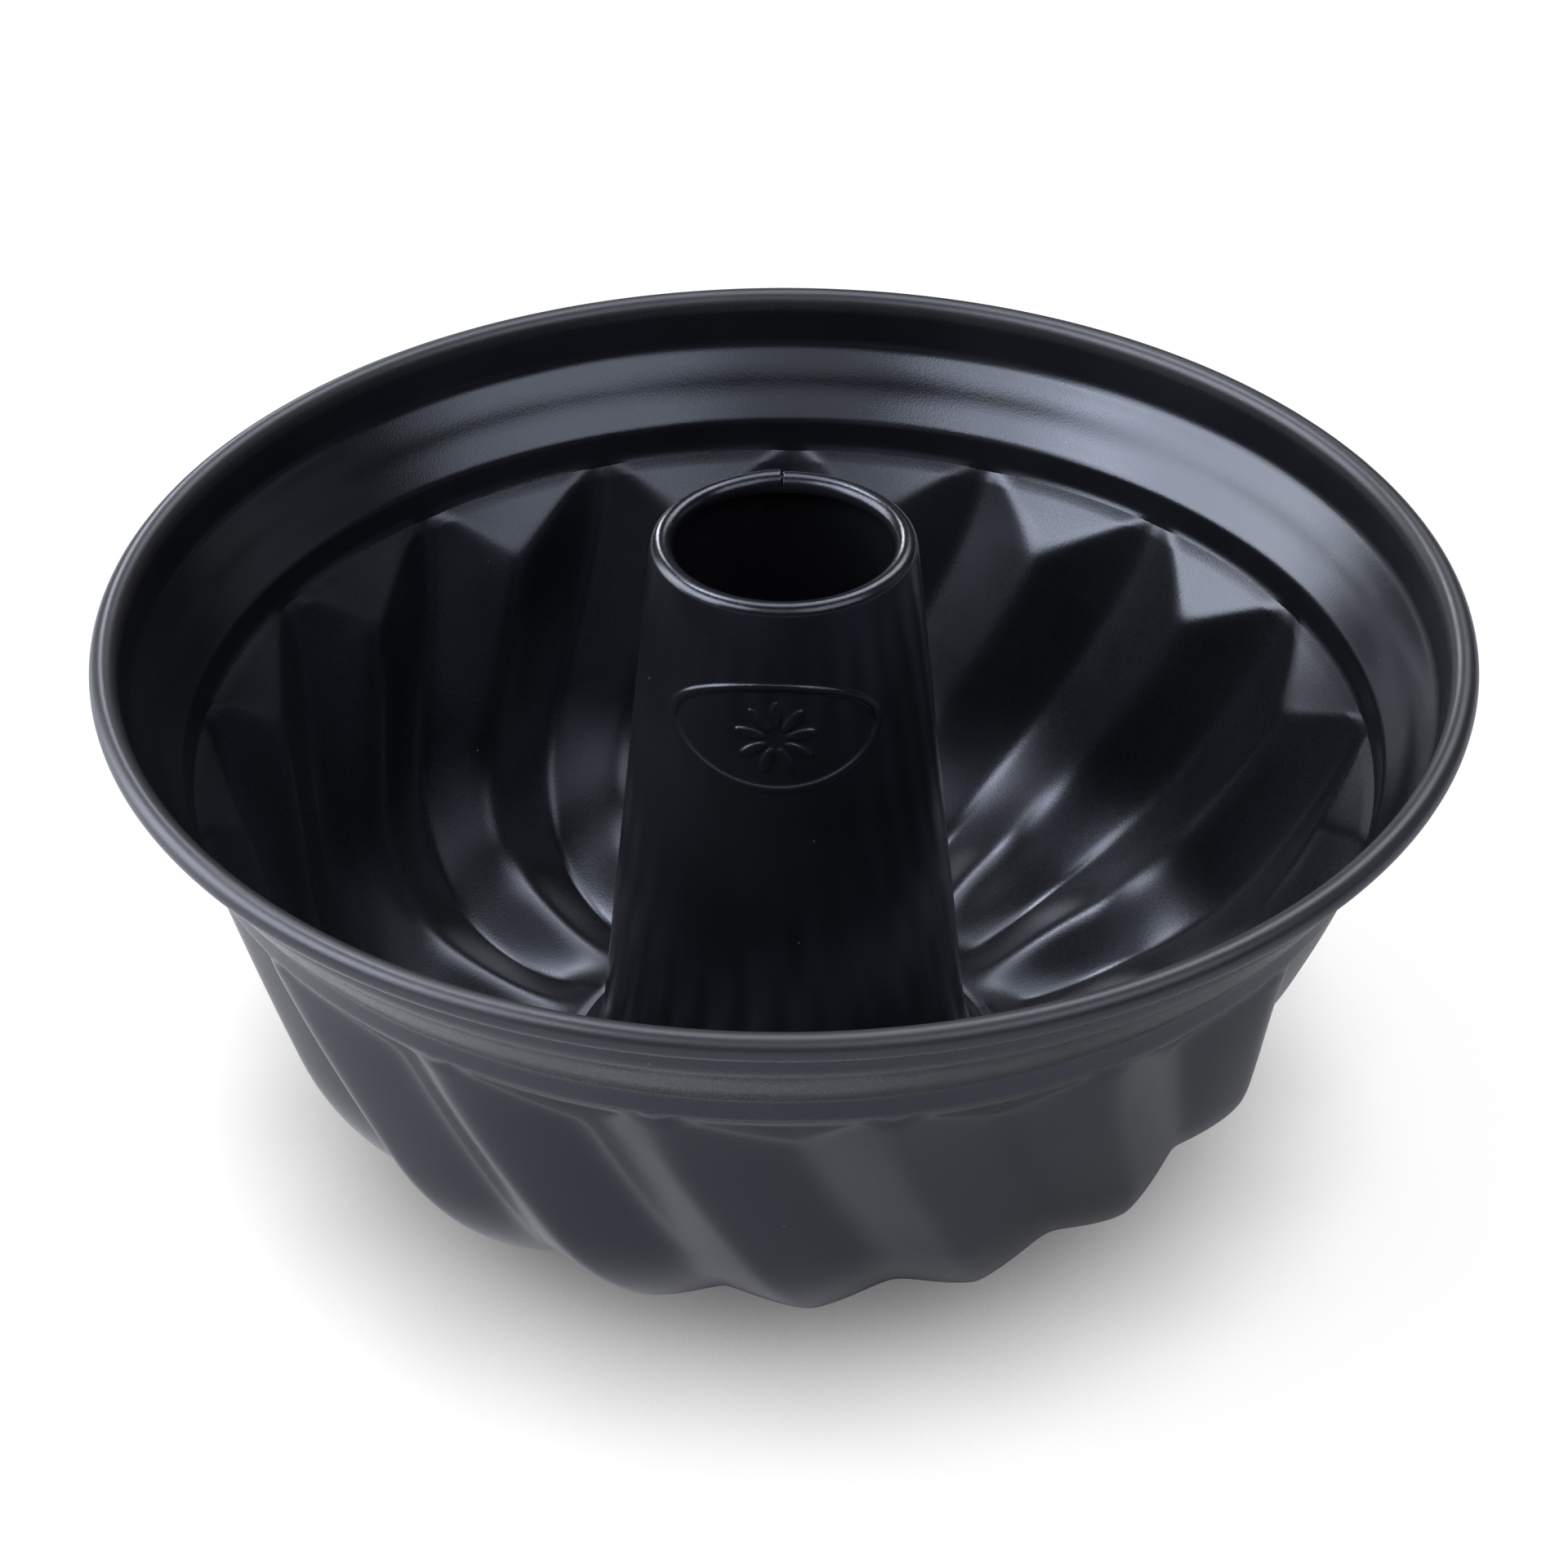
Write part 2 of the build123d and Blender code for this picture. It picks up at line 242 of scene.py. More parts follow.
LOBE_LINE = Outline(flute_outline(FLUTE_TOP, LOBE_SLOPE, LOBE_BEND, LOBE_BOTTOM + LOBE_BEND, 0))
RIDGE_LINE = Outline(np.vstack([
    line_points(FLUTE_TOP, RIDGE_START),
    flute_outline(
        RIDGE_START, RIDGE_SLOPE, RIDGE_BEND, RIDGE_BEND_CENTRE_HEIGHT, RIDGE_RUNOUT
    )[1:],
]))
FACET_LENGTH = hypot(FLUTE_TOP[0] - RIDGE_START[0], FLUTE_TOP[1] - RIDGE_START[1])
FACET_SHARE = FACET_LENGTH / RIDGE_LINE.length


# ---------------------------------------------------------------------------
# The shell
# ---------------------------------------------------------------------------
def flute_rows(shares, side):
    """Radius, height and twist of one face of the fluted sheet, one row per share."""
    share = np.asarray(shares, float)[:, None]
    turn = (np.arange(COLUMNS_PER_FLUTE) / COLUMNS_PER_FLUTE)[None, :]
    lobe = LOBE_LINE.at(share)
    apex_step = np.asarray(RIDGE_START) - LOBE_LINE.at(np.array(FACET_SHARE))
    inward = np.where(share[..., None] < FACET_SHARE, apex_step, RIDGE_LINE.at(share) - lobe)
    depth = np.linalg.norm(inward, axis=-1)
    facet = share / FACET_SHARE
    on_ridge = np.sin(pi * turn) ** 2
    at_foot = CHANNEL_SHARPNESS_FOOT + (RIDGE_SHARPNESS_FOOT - CHANNEL_SHARPNESS_FOOT) * on_ridge
    sharpness = FOLD_SHARPNESS_TOP + (at_foot - FOLD_SHARPNESS_TOP) * share
    corner = np.arccos(sharpness)
    wave = (np.arccos(sharpness * np.cos(2 * pi * turn)) - corner) / (pi - 2 * corner) * depth
    softness = FACET_EDGE_SOFTNESS * np.minimum(np.minimum(1.0, facet), depth / FACET_SOFT_DEPTH)
    limit = depth * facet
    pressed = (wave + limit - np.sqrt((wave - limit) ** 2 + 4 * softness**2)) / 2
    step = np.where(depth > 1e-6, pressed / np.maximum(depth, 1e-6), 0.0)
    place = lobe + inward * step[..., None]
    facing = -LOBE_LINE.facing(share)
    level = np.maximum(0.0, 1 - share / LEVEL_START)[..., None]
    facing = facing * (1 - level) + np.array([1.0, 0.0]) * level
    place = place + facing * side * HALF
    twist = sum(amount * share ** (power + 1) for power, amount in enumerate(TWIST))
    pooled = np.maximum(0, np.cos(2 * pi * turn)) ** POOL_TIGHTNESS
    pooled = pooled * smooth_step(POOL_START - POOL_BLEND, POOL_START + POOL_BLEND, share)
    full = np.tile(place, (1, FLUTES, 1))
    return full, np.repeat(twist, full.shape[1], axis=1), np.tile(pooled, (1, FLUTES))


def spun_rows(points, columns, twist=0.0):
    """Rows that are plain circles: one per point of an outline."""
    points = np.asarray(points, float)
    rows = np.repeat(points[:, None, :], columns, axis=1)
    return rows, np.full((len(points), columns), twist), np.zeros((len(points), columns))


def collar_points(side):
    """The sheet round the tube, from the ring to the collar's top edge."""
    centre = (RING_RADIUS, RING_HEIGHT + COLLAR_BEND)
    bend = arc_points(centre, COLLAR_BEND + side * HALF, 270, -90, COLLAR_ROWS)
    edge = (RING_RADIUS - COLLAR_BEND - side * HALF, COLLAR_TOP)
    return np.vstack([bend[1:], [edge]])


def band_outline():
    """Middle of the sheet from the flutes' top circle to the free edge of the roll."""
    roll = RIM_ROLL_RADIUS - HALF
    roll_centre = (RIM_OUTER_RADIUS - RIM_ROLL_RADIUS, RIM_HEIGHT)
    corners = [
        FLUTE_TOP,
        LEDGE_FOOT,
        FOLD_BOTTOM,
        FOLD_TOP,
        UPPER_WALL_FOOT,
        (roll_centre[0] - roll, RIM_HEIGHT),
    ]
    bends = (LEDGE_FOOT_BEND, FOLD_BEND, FOLD_BEND, UPPER_WALL_BEND)
    pieces = [np.array([corners[0]])]
    for i, bend in enumerate(bends):
        pieces.append(rounded_corner(corners[i], corners[i + 1], corners[i + 2], bend))
    pieces.append(arc_points(roll_centre, roll, 180, -RIM_ROLL_TURN, ROLL_POINTS))
    return Outline(np.vstack(pieces))


def band_rows(side):
    """One face of the band and the roll, in order from the flutes to the free edge."""
    outline = band_outline()
    share = np.linspace(0, 1, BAND_ROWS)
    level = np.clip(1 - share * outline.length / LEVEL_LENGTH, 0, 1)[:, None]
    facing = -outline.facing(share) * (1 - level) + np.array([1.0, 0.0]) * level
    return outline.at(share) + facing * side * HALF


def soften(rows, first, last, passes):
    """Round the corners in a run of rows: each row settles between its neighbours."""
    for _ in range(passes):
        middle = (rows[first - 1 : last - 1] + rows[first + 1 : last + 1]) / 2
        rows[first:last] = (rows[first:last] + middle) / 2


def shell_rows():
    """Every row of the shell, from the collar's edge over the rim and back."""
    columns = FLUTES * COLUMNS_PER_FLUTE
    facet_end = FACET_SHARE * FACET_ROWS_REACH
    shares = np.concatenate([
        np.linspace(0, facet_end, FACET_ROWS, endpoint=False),
        np.linspace(facet_end, 1, WALL_ROWS),
    ])
    foot_twist = sum(TWIST)
    inner = [
        spun_rows(collar_points(-1)[::-1], columns, foot_twist),
        tuple(part[::-1] for part in flute_rows(shares, -1)),
        spun_rows(band_rows(-1)[1:], columns),
    ]
    outer = [
        spun_rows(band_rows(+1)[:0:-1], columns),
        flute_rows(shares, +1),
        spun_rows(collar_points(+1), columns, foot_twist),
    ]
    rows, twists, pooled = (np.vstack(parts) for parts in zip(*inner, *outer))
    inner_count = sum(len(part[0]) for part in inner)
    outside = np.zeros(pooled.shape)
    outside[inner_count:] = 1
    for circle in (len(inner[0][0]) + len(shares) - 1, inner_count + len(outer[0][0])):
        soften(rows, circle - SOFTEN_REACH, circle + SOFTEN_REACH, SOFTEN_PASSES)
    # Painted highlight: marks the top of the rim roll, which the coating makes lighter, partly
    # metallic and rougher.
    worn = smooth_step(RIM_HEIGHT - HIGHLIGHT_BELOW_RIM, RIM_HEIGHT + HIGHLIGHT_FULLY_ABOVE, rows[..., 1])
    return rows, twists, {"outside": outside, "pooled": pooled, "worn": worn}


def rows_to_mesh(name, radius, height, azimuth, marks):
    """A closed sheet: each row joined to the next one, and the last to the first."""
    rows, columns = radius.shape
    place = np.stack([radius * np.cos(azimuth), radius * np.sin(azimuth), height], -1) * MM
    index = np.arange(rows * columns).reshape(rows, columns)
    below = np.roll(index, -1, axis=0)
    quads = np.stack(
        [index, np.roll(index, -1, axis=1), np.roll(below, -1, axis=1), below], -1
    ).reshape(-1, 4)
    mesh = bpy.data.meshes.new(name)
    mesh.from_pydata(place.reshape(-1, 3).tolist(), [], quads.tolist())
    mesh.update()
    for mark, amounts in marks.items():
        layer = mesh.attributes.new(mark, "FLOAT", "POINT")
        layer.data.foreach_set("value", amounts.ravel().astype(np.float32))
    mesh.shade_smooth()
    mesh.set_sharp_from_angle(angle=radians(SHARP_ANGLE))
    piece = bpy.data.objects.new(name, mesh)
    bpy.context.scene.collection.objects.link(piece)
    return piece


def make_shell():
    rows, twists, marks = shell_rows()
    columns = rows.shape[1]
    round_axis = FIRST_FLUTE_ANGLE + np.arange(columns) * 360 / columns
    azimuth = np.radians(round_axis[None, :] + twists)
    return rows_to_mesh("pan_shell", rows[..., 0], rows[..., 1], azimuth, marks)


# ---------------------------------------------------------------------------
# The tube
# ---------------------------------------------------------------------------
FLARE = COLLAR_BEND + HALF + SEAT_GAP + TUBE_HALF
FLARE_CENTRE = (RING_RADIUS, RING_HEIGHT + COLLAR_BEND)
WALL_TOP = (TUBE_TOP_RADIUS - TUBE_HALF, TUBE_TOP_HEIGHT)
TO_FLARE = (FLARE_CENTRE[0] - WALL_TOP[0], WALL_TOP[1] - FLARE_CENTRE[1])
TUBE_LEAN = atan2(*TO_FLARE) - asin(FLARE / hypot(*TO_FLARE))


def tube_outline():
    """Middle of the tube's sheet, from the flange over the wall to the lip's free edge."""
    lean = degrees(TUBE_LEAN)
    roll = LIP_ROLL_RADIUS - TUBE_HALF
    roll_centre = (WALL_TOP[0] - roll * cos(TUBE_LEAN), WALL_TOP[1] - roll * sin(TUBE_LEAN))
    foot = (FLARE_CENTRE[0], FLARE_CENTRE[1] - FLARE)
    return Outline(np.vstack([
        line_points((FLANGE_RADIUS, foot[1]), foot, FLANGE_POINTS),
        arc_points(FLARE_CENTRE, FLARE, 270, -(90 - lean), FLARE_POINTS)[1:],
        [WALL_TOP],
        arc_points(roll_centre, roll, lean, LIP_ROLL_TURN, 120)[1:],
    ]))


def ellipse_distance(x, y, radius_x, radius_y):
    """Roughly the distance outside an ellipse, negative inside it."""
    size = np.hypot(x / radius_x, y / radius_y) + 1e-9
    slope = np.hypot(x / (radius_x**2 * size), y / (radius_y**2 * size)) + 1e-9
    return (size - 1) / slope


def oval_mark(x, z):
    """Height of the raised oval line and its rosette, at a place on the tube's face."""
    x = x - OVAL_CENTRE[0]
    z = z - OVAL_CENTRE[1]
    edge = ellipse_distance(x, z, OVAL_RADII[0] - OVAL_LINE / 2, OVAL_RADII[1] - OVAL_LINE / 2)
    raised = 1 - smooth_step(OVAL_LINE * 0.25, OVAL_LINE * 0.8, np.abs(edge))
    for i in range(PETALS):
        angle = pi / 2 + i * 2 * pi / PETALS
        along = x * cos(angle) + z * sin(angle) - PETAL_RING
        across = -x * sin(angle) + z * cos(angle)
        petal = ellipse_distance(along, across, *PETAL_RADII)
        raised = np.maximum(raised, 1 - smooth_step(-0.25, 0.3, petal))
    return OVAL_RISE * raised


def tube_columns():
    """Azimuths of the columns: close together over the mark and at the seam."""
    front = np.linspace(-90 - FRONT_SPAN, -90 + FRONT_SPAN, FRONT_COLUMNS, endpoint=False)
    seam = [SEAM_ANGLE - 0.6, SEAM_ANGLE - 0.15, SEAM_ANGLE + 0.15]
    notch = NOTCH_ANGLE + np.linspace(-1.2, 1.2, NOTCH_COLUMNS)
    rest = np.linspace(-90 + FRONT_SPAN, 270 - FRONT_SPAN, REST_COLUMNS, endpoint=False)
    keep = [a for a in rest if abs(a - NOTCH_ANGLE) > 2 and abs(a - SEAM_ANGLE) > 1]
    return np.radians(np.sort(np.concatenate([front, keep, seam, notch])))


def share_at_height(outline, height):
    """The share of the tube's outline at a height on its straight wall."""
    wall_foot = FLANGE_POINTS + FLARE_POINTS - 2
    wall = slice(wall_foot, wall_foot + 3)
    return np.interp(height, outline.points[wall, 1], outline.along[wall] / outline.length)


def spread(stops, counts):
    """Shares that run through the stops, with a count of steps to each stretch."""
    runs = []
    for start, end, count in zip(stops, stops[1:], counts):
        runs.append(np.linspace(start, end, count, endpoint=end == stops[-1]))
    return np.concatenate(runs)


def lap_strength(degrees_round):
    """How far the overlapping sheet stands off, from nothing to fully, round the seam."""
    rising = smooth_step(SEAM_ANGLE - 0.16, SEAM_ANGLE + 0.14, degrees_round)
    lap_end = SEAM_ANGLE + SEAM_LAP
    return rising * (1 - smooth_step(lap_end - SEAM_LAP_FADE, lap_end, degrees_round))


def lip_shape(degrees_round, height):
    """Rise of the lip next to its notch, and the notch's drop."""
    past_notch = degrees_round - NOTCH_ANGLE
    across = np.radians(past_notch) * TUBE_TOP_RADIUS
    notch = np.exp(-((across / (NOTCH_WIDTH / 2)) ** 2))
    step = smooth_step(0, 0.5, past_notch) * (1 - smooth_step(0, LIP_STEP_SPAN, past_notch))
    on_lip = smooth_step(WALL_TOP[1] - LIP_BLEND[0], WALL_TOP[1] + LIP_BLEND[1], height)
    return (step * LIP_STEP - notch * NOTCH_DEPTH) * on_lip


def make_tube():
    outline = tube_outline()
    foot = share_at_height(outline, FLARE_CENTRE[1] + WALL_START)
    mark_low = share_at_height(outline, OVAL_CENTRE[1] - OVAL_ROWS_REACH)
    mark_high = share_at_height(outline, OVAL_CENTRE[1] + OVAL_ROWS_REACH)
    top = share_at_height(outline, WALL_TOP[1] - WALL_END)
    outer_shares = spread((0, foot, mark_low, mark_high, top, 1), TUBE_OUTER_ROWS)
    inner_shares = spread((0, foot, top, 1), TUBE_INNER_ROWS)[::-1]

    azimuth = tube_columns()
    degrees_round = np.degrees(azimuth)[None, :]
    outer = outline.at(outer_shares) + outline.facing(outer_shares) * -TUBE_HALF
    inner = outline.at(inner_shares) + outline.facing(inner_shares) * TUBE_HALF
    outer_radius, outer_height = (np.repeat(outer[:, i, None], len(azimuth), 1) for i in (0, 1))
    inner_radius, inner_height = (np.repeat(inner[:, i, None], len(azimuth), 1) for i in (0, 1))

    on_front = np.sin(azimuth)[None, :] < -0.4
    mark = oval_mark(outer_radius * np.cos(azimuth)[None, :], outer_height)
    outer_radius = outer_radius + np.where(on_front, mark, 0.0)
    outer_height = outer_height + lip_shape(degrees_round, outer_height)

    low, high = SEAM_SPAN
    on_wall = (inner_shares > foot) & (inner_shares < top)
    within = smooth_step(low, low + SEAM_END_FADE, inner_height)
    within = within * (1 - smooth_step(high - SEAM_END_FADE, high, inner_height))
    lap = lap_strength(degrees_round) * within * on_wall[:, None]
    inner_radius = inner_radius - SEAM_LAP_RISE * lap

    radius = np.vstack([outer_radius, inner_radius])
    height = np.vstack([outer_height, inner_height])
    turned = np.repeat(azimuth[None, :], len(radius), axis=0)
    plain = np.zeros(radius.shape)
    marks = {"outside": plain, "pooled": plain, "worn": plain}
    return rows_to_mesh("pan_tube", radius, height, turned, marks)


# ---------------------------------------------------------------------------
# Materials
# ---------------------------------------------------------------------------
COAT_IOR = 1.55
COAT_TINT = (0.71, 0.79, 1.0, 1)
LIGHTER_PATCHES = 1.9
SPECK_SCALE = 420.0
SPECK_SHARE = 0.985
SPECK_COLOUR = (0.10, 0.105, 0.12, 1)
# Lighter colour painted on convex edges as a highlight.
EDGE_HIGHLIGHT_COLOUR = (0.03, 0.032, 0.036, 1)
RIM_HIGHLIGHT_COLOUR = (0.075, 0.075, 0.078, 1)
CLOUD_SCALE = 28
WIPE_SCALE = 60
GRAIN_SCALE = 2600
GRAIN_HEIGHT = 0.00004
RIPPLE_SCALE = 45
RIPPLE_HEIGHT = 0.0006
RIPPLE_STRENGTH = 0.35


class Nodes:
    """Short calls for building a node tree."""

    def __init__(self, tree):
        self.tree = tree

    def new(self, kind, **settings):
        node = self.tree.nodes.new(kind)
        for key, value in settings.items():
            setattr(node, key, value)
        return node

    def link(self, source, target):
        self.tree.links.new(source, target)

    def set(self, node, **values):
        for key, value in values.items():
            node.inputs[key.replace("_", " ")].default_value = value
        return node

    def noise(self, scale, detail=4.0, roughness=0.55, stretch=(1, 1, 1)):
        place = self.new("ShaderNodeTexCoord")
        mapping = self.new("ShaderNodeMapping")
        mapping.inputs["Scale"].default_value = stretch
        noise = self.new("ShaderNodeTexNoise")
        self.set(noise, Scale=scale, Detail=detail, Roughness=roughness)
        self.link(place.outputs["Object"], mapping.inputs["Vector"])
        self.link(mapping.outputs["Vector"], noise.inputs["Vector"])
        return noise.outputs["Fac"]

    def remap(self, source, low, high, to_low, to_high):
        node = self.new("ShaderNodeMapRange")
        self.set(node, From_Min=low, From_Max=high, To_Min=to_low, To_Max=to_high)
        self.link(source, node.inputs["Value"])
        return node.outputs["Result"]

    def maths(self, operation, first, second):
        node = self.new("ShaderNodeMath", operation=operation)
        for socket, value in zip(node.inputs, (first, second)):
            if isinstance(value, (int, float)):
                socket.default_value = value
            else:
                self.link(value, socket)
        return node.outputs[0]

    def mix_colour(self, factor, first, second):
        node = self.new("ShaderNodeMix", data_type="RGBA")
        self.link(factor, node.inputs["Factor"])
        for socket, value in ((node.inputs[6], first), (node.inputs[7], second)):
            if isinstance(value, tuple):
                socket.default_value = value
            else:
                self.link(value, socket)
        return node.outputs[2]


def new_material(name):
    """A node material, short calls for its tree, and its main shader."""
    material = bpy.data.materials.new(name)
    material.use_nodes = True
    return material, Nodes(material.node_tree), material.node_tree.nodes["Principled BSDF"]


def speck_pattern(nodes):
    """Small round specks at a few of the cells of a fine pattern."""
    specks = nodes.new("ShaderNodeTexVoronoi", feature="F1")
    place = nodes.new("ShaderNodeTexCoord")
    nodes.link(place.outputs["Object"], specks.inputs["Vector"])
    nodes.set(specks, Scale=SPECK_SCALE)
    inside = nodes.remap(specks.outputs["Distance"], 0.05, 0.09, 1, 0)
    pick = nodes.new("ShaderNodeSeparateColor")
    nodes.link(specks.outputs["Color"], pick.inputs["Color"])
    chosen = nodes.remap(pick.outputs["Red"], SPECK_SHARE, SPECK_SHARE + 0.005, 0, 1)
    return nodes.maths("MULTIPLY", inside, chosen)


def coating(name, base, roughness_inside, roughness_outside, grain):
    """Dark satin non-stick coating: fine orange peel, cloudy sheen and tiny light specks."""
    material, nodes, shader = new_material(name)
    outside, worn, pooled = (
        nodes.new("ShaderNodeAttribute", attribute_name=mark).outputs["Fac"]
        for mark in ("outside", "worn", "pooled")
    )
    cloud = nodes.noise(CLOUD_SCALE, detail=5)
    fine = nodes.noise(GRAIN_SCALE, detail=2, roughness=0.6)
    wipe = nodes.noise(WIPE_SCALE, detail=3, stretch=(1, 1, 0.15))

    dark = (*base, 1)
    light = tuple(channel * LIGHTER_PATCHES for channel in base) + (1,)
    colour = nodes.mix_colour(nodes.remap(cloud, 0.35, 0.7, 0, 1), dark, light)
    colour = nodes.mix_colour(speck_pattern(nodes), colour, SPECK_COLOUR)
    # Painted highlight: convex edges, found by their pointiness, are lightened.
    pointiness = nodes.new("ShaderNodeNewGeometry").outputs["Pointiness"]
    colour = nodes.mix_colour(nodes.remap(pointiness, 0.53, 0.6, 0, 0.35), colour, EDGE_HIGHLIGHT_COLOUR)
    # Painted highlight: the top of the rim roll turns lighter and partly metallic, in cloudy
    # patches.
    highlight_amount = nodes.maths("MULTIPLY", worn, nodes.remap(cloud, 0.3, 0.7, 0.7 * RIM_HIGHLIGHT_STRENGTH, 1.3 * RIM_HIGHLIGHT_STRENGTH))
    colour = nodes.mix_colour(highlight_amount, colour, RIM_HIGHLIGHT_COLOUR)
    nodes.link(colour, shader.inputs["Base Color"])
    nodes.link(highlight_amount, shader.inputs["Metallic"])

    spread_out = roughness_outside - roughness_inside
    changes = (
        nodes.maths("MULTIPLY", outside, spread_out),
        nodes.remap(cloud, 0.3, 0.7, -0.02, 0.03),
        nodes.remap(wipe, 0.3, 0.7, -0.015, 0.02),
        nodes.remap(fine, 0.3, 0.7, -0.03, 0.03),
        nodes.maths("MULTIPLY", pooled, -POOL_GLOSS),
        nodes.maths("MULTIPLY", worn, RIM_HIGHLIGHT_ROUGHNESS),
    )
    roughness = roughness_inside
    for change in changes:
        roughness = nodes.maths("ADD", roughness, change)
    nodes.link(roughness, shader.inputs["Roughness"])

    bump = nodes.new("ShaderNodeBump")
    nodes.set(bump, Strength=grain, Distance=GRAIN_HEIGHT)
    nodes.link(fine, bump.inputs["Height"])
    ripple = nodes.new("ShaderNodeBump")
    nodes.set(ripple, Strength=RIPPLE_STRENGTH, Distance=RIPPLE_HEIGHT)
    nodes.link(nodes.noise(RIPPLE_SCALE, detail=1), ripple.inputs["Height"])
    nodes.link(ripple.outputs["Normal"], bump.inputs["Normal"])
    nodes.link(bump.outputs["Normal"], shader.inputs["Normal"])

    nodes.set(shader, IOR=COAT_IOR)
    shader.inputs["Specular Tint"].default_value = COAT_TINT
    return material


def pale_floor():
    """Pale card: brighter to the camera than in the pan's reflections, dark under the pan."""
    material, nodes, shader = new_material("pale_floor")
    seen = nodes.new("ShaderNodeLightPath").outputs["Is Camera Ray"]
    cloud = nodes.noise(CARD_CLOUD_SCALE, detail=3)
    card = nodes.mix_colour(cloud, CARD_DARKER, CARD_LIGHTER)
    contact = nodes.new("ShaderNodeAmbientOcclusion", samples=6)
    nodes.set(contact, Distance=CONTACT_REACH)
    shade = nodes.remap(contact.outputs["AO"], 0.1, 0.85, 1, 0)
    card = nodes.mix_colour(shade, card, CONTACT_SHADE)
    evenness = nodes.maths("MULTIPLY", seen, FLOOR_EVENNESS)
    lit_card = nodes.mix_colour(evenness, card, (0, 0, 0, 1))
    # Painted shade: everything but the camera sees the card as a darker, bluish grey.
    colour = nodes.mix_colour(seen, SHADED_FLOOR_IN_REFLECTIONS, lit_card)
    nodes.link(colour, shader.inputs["Base Color"])
    nodes.link(card, shader.inputs["Emission Color"])
    nodes.link(nodes.maths("MULTIPLY", seen, FLOOR_LIFT), shader.inputs["Emission Strength"])
    nodes.set(shader, Roughness=0.9, IOR=1.2)
    return material


# ---------------------------------------------------------------------------
# Floor, lights and camera
# ---------------------------------------------------------------------------
FLOOR_SIZE = 8.0
CARD_CLOUD_SCALE = 3
CARD_DARKER = (0.90, 0.90, 0.90, 1)
CARD_LIGHTER = (0.93, 0.93, 0.93, 1)
LENS = 100.64
CAMERA_ELEVATION = 35.0
CAMERA_DISTANCE = 716.9
CAMERA_AIM = Vector((0, 0, 59.1))
DARK_ROOM = 0.02
BACKDROP = (0.93, 0.93, 0.93, 1)
LIGHTS_AIM = (0, 0, 0.05)
FEATHER = 0.3
FLOOR_LIFT = 0.97
FLOOR_EVENNESS = 0.88
# Painted shade: the floor's colour in the pan's reflections and in the light it bounces.
SHADED_FLOOR_IN_REFLECTIONS = (0.495, 0.50, 0.525, 1)
CONTACT_REACH = 0.037
CONTACT_SHADE = (0.11, 0.11, 0.115, 1)


def make_floor():
    half = FLOOR_SIZE / 2
    corners = [(-half, -half, 0), (half, -half, 0), (half, half, 0), (-half, half, 0)]
    mesh = bpy.data.meshes.new("floor")
    mesh.from_pydata(corners, [], [(0, 1, 2, 3)])
    mesh.materials.append(pale_floor())
    floor = bpy.data.objects.new("floor", mesh)
    bpy.context.scene.collection.objects.link(floor)


def aim(thing, target):
    direction = Vector(target) - thing.location
    thing.rotation_euler = direction.to_track_quat("-Z", "Y").to_euler()


def feather_edges(data):
    """Let a rectangular light fade out towards its edges, as a lamp behind cloth does."""
    data.use_nodes = True
    nodes = Nodes(data.node_tree)
    across = nodes.new("ShaderNodeSeparateXYZ")
    place = nodes.new("ShaderNodeNewGeometry").outputs["Parametric"]
    nodes.link(place, across.inputs["Vector"])
    fades = []
    for axis in ("X", "Y"):
        off_middle = nodes.maths("SUBTRACT", across.outputs[axis], 0.5)
        fade = nodes.new("ShaderNodeMapRange", interpolation_type="SMOOTHSTEP")
        nodes.set(fade, From_Min=0.5 - FEATHER, From_Max=0.5, To_Min=1, To_Max=0)
        nodes.link(nodes.maths("ABSOLUTE", off_middle, 0), fade.inputs["Value"])
        fades.append(fade.outputs["Result"])
    strength = nodes.maths("MULTIPLY", *fades)
    nodes.link(strength, nodes.tree.nodes["Emission"].inputs["Strength"])


def soft_box(name, azimuth, elevation, distance, size, radiance):
    """A rectangular light that looks at the pan, with its brightness given as a radiance."""
    data = bpy.data.lights.new(name, "AREA")
    data.shape = "RECTANGLE"
    data.size, data.size_y = size
    data.energy = radiance * pi * size[0] * size[1]
    feather_edges(data)
    light = bpy.data.objects.new(name, data)
    level = cos(radians(elevation)) * distance
    light.location = (
        level * cos(radians(azimuth)),
        level * sin(radians(azimuth)),
        sin(radians(elevation)) * distance,
    )
    aim(light, LIGHTS_AIM)
    bpy.context.scene.collection.objects.link(light)


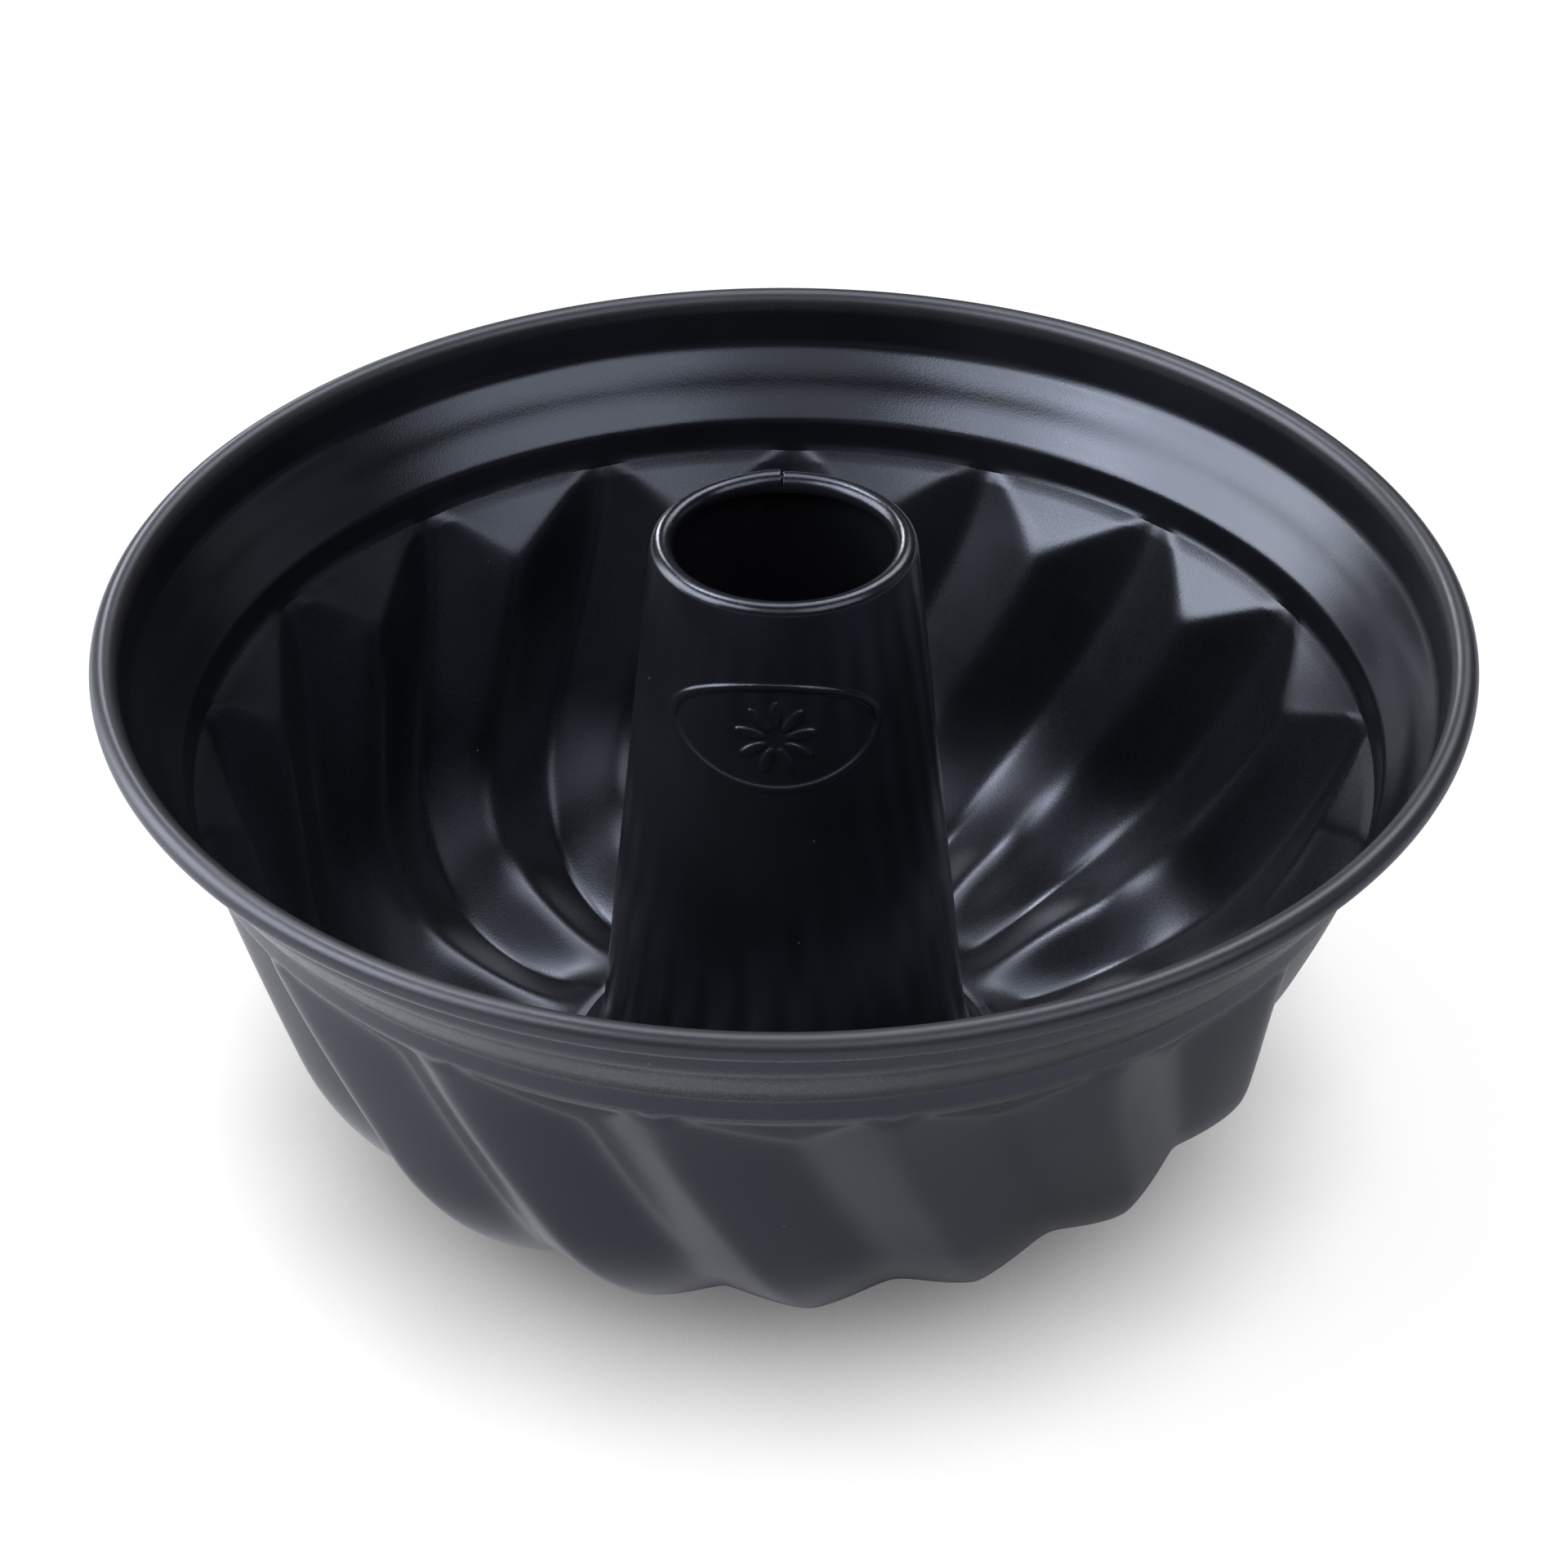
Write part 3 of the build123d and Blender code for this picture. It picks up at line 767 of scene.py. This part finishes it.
def make_lights():
    """Name, azimuth and elevation in degrees, distance and size in metres, radiance."""
    soft_box("left_bank", 180, 32, 1.1, (1.7, 0.8), 8.0)
    soft_box("front_left_bank", 214, 48, 1.3, (1.1, 0.7), 6.5)
    soft_box("low_left_strip", 165, 10, 1.0, (1.0, 0.32), 5.0)
    soft_box("high_key", 135, 59, 2.0, (0.75, 0.75), 14.0)
    soft_box("back_left_strip", 110, 28, 2.0, (0.4, 1.0), 14.0)
    soft_box("back_right_box", 63, 49, 2.0, (1.15, 1.4), 5.0)
    soft_box("overhead_box", 95, 70, 2.0, (1.9, 1.6), 3.6)
    soft_box("front_right_fill", -42, 46, 2.0, (2.1, 1.5), 3.0)
    soft_box("front_top_fill", -90, 50, 2.2, (2.0, 1.5), 1.1)
    soft_box("right_fill", 15, 20, 2.2, (1.8, 1.1), 0.25)


def make_room():
    """Dark studio around the pan, with a pale backdrop where the camera itself looks."""
    world = bpy.data.worlds.new("room")
    world.use_nodes = True
    nodes = Nodes(world.node_tree)
    seen = nodes.new("ShaderNodeLightPath").outputs["Is Camera Ray"]
    colour = nodes.mix_colour(seen, (DARK_ROOM, DARK_ROOM, DARK_ROOM * 1.1, 1), BACKDROP)
    nodes.link(colour, nodes.tree.nodes["Background"].inputs["Color"])
    bpy.context.scene.world = world


def make_camera():
    data = bpy.data.cameras.new("camera")
    data.lens = LENS
    camera = bpy.data.objects.new("camera", data)
    lift = radians(CAMERA_ELEVATION)
    away = Vector((0, -cos(lift), sin(lift))) * CAMERA_DISTANCE
    camera.location = (CAMERA_AIM + away) * MM
    aim(camera, CAMERA_AIM * MM)
    bpy.context.scene.collection.objects.link(camera)
    bpy.context.scene.camera = camera


shell = make_shell()
shell.data.materials.append(coating("shell_coating", (0.0035, 0.0038, 0.005), 0.21, 0.28, 0.6))
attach(shell, "root")
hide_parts("fluted_shell")

tube = make_tube()
tube.data.materials.append(coating("tube_coating", (0.0045, 0.005, 0.0065), 0.2, 0.2, 0.6))
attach(tube, "root")
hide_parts("centre_tube")

make_floor()
make_lights()
make_room()
make_camera()
bpy.context.scene.view_settings.view_transform = "Standard"
